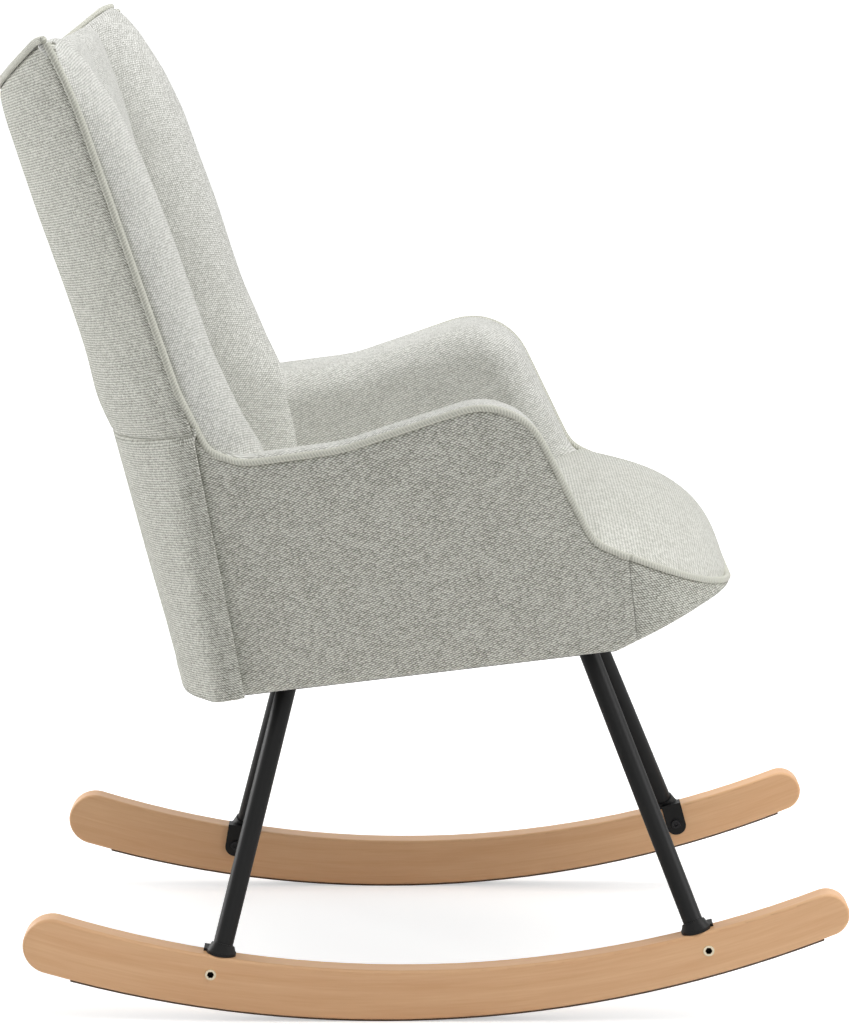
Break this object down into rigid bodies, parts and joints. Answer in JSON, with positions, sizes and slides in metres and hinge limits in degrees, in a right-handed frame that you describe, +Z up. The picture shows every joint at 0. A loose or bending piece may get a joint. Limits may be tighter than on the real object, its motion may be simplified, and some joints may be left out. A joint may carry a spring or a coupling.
{
  "type": "rocking chair",
  "caption": "Wing-back rocking chair with a padded seat, arms and quilted back, on splayed steel tube legs and curved wooden runners with grip strips.",
  "frame": {"origin": "on the floor under the middle of the chair's overall box", "axes": "+X to the front of the chair, +Y to the sitter's left, +Z up"},
  "size_m": [0.8624, 0.6712, 0.9929],
  "materials": {
    "woven_cloth": "matte",
    "welt_cloth": "matte",
    "runner_wood": "satin",
    "frame_wood": "matte",
    "black_powder_coat": "satin",
    "black_steel": "satin",
    "bright_zinc": "satin",
    "grip_rubber": "matte",
    "padding": "matte",
    "webbing": "matte",
    "dust_cloth": "matte",
    "tape": "matte"
  },
  "bodies": {
    "chair": {"arm_frame_left": "frame_wood", "arm_frame_right": "frame_wood", "arm_pad_left": "woven_cloth", "arm_pad_right": "woven_cloth", "arm_welt_left": "welt_cloth", "arm_welt_right": "welt_cloth", "back_blade_left": "black_powder_coat", "back_blade_right": "black_powder_coat", "back_bolts": "black_steel", "back_cover": "woven_cloth", "back_lower_rail": "frame_wood", "back_pad": "woven_cloth", "back_post_left": "frame_wood", "back_post_right": "frame_wood", "back_screws": "bright_zinc", "back_top_rail": "frame_wood", "back_webbing": "webbing", "dust_cover": "dust_cloth", "foot_bracket_front_left": "black_powder_coat", "foot_bracket_front_right": "black_powder_coat", "foot_bracket_rear_left": "black_powder_coat", "foot_bracket_rear_right": "black_powder_coat", "front_apron": "woven_cloth", "front_welt": "welt_cloth", "leg_board_front": "frame_wood", "leg_board_rear": "frame_wood", "leg_front_left": "black_powder_coat", "leg_front_right": "black_powder_coat", "leg_plate_screws": "bright_zinc", "leg_rear_left": "black_powder_coat", "leg_rear_right": "black_powder_coat", "leg_top_plates": "black_powder_coat", "nose_foam": "padding", "rear_loop_tape": "tape", "runner_bolts": "black_steel", "runner_grip_strip_left": "grip_rubber", "runner_grip_strip_right": "grip_rubber", "runner_left": "runner_wood", "runner_right": "runner_wood", "runner_sleeve_nuts": "bright_zinc", "seat_cushion": "woven_cloth", "seat_front_rail": "frame_wood", "seat_rear_cover": "woven_cloth", "seat_rear_rail": "frame_wood", "seat_side_rail_left": "frame_wood", "seat_side_rail_right": "frame_wood", "seat_springs": "bright_zinc", "side_cover_left": "woven_cloth", "side_cover_right": "woven_cloth", "spring_clips": "bright_zinc", "top_welt": "welt_cloth", "wing_board_left": "frame_wood", "wing_board_right": "frame_wood", "wing_pad_left": "woven_cloth", "wing_pad_right": "woven_cloth", "wing_welt_left": "welt_cloth", "wing_welt_right": "welt_cloth"},
    "flap": {"rear_flap": "woven_cloth", "flap_hook_tape": "tape"}
  },
  "joints": [
    {"name": "flap_lift", "type": "hinge", "parent": "chair", "child": "flap", "pos_m": [-0.31833, 0, 0.57965], "axis": [0, 1, 0], "range_deg": [0, 70]}
  ]
}
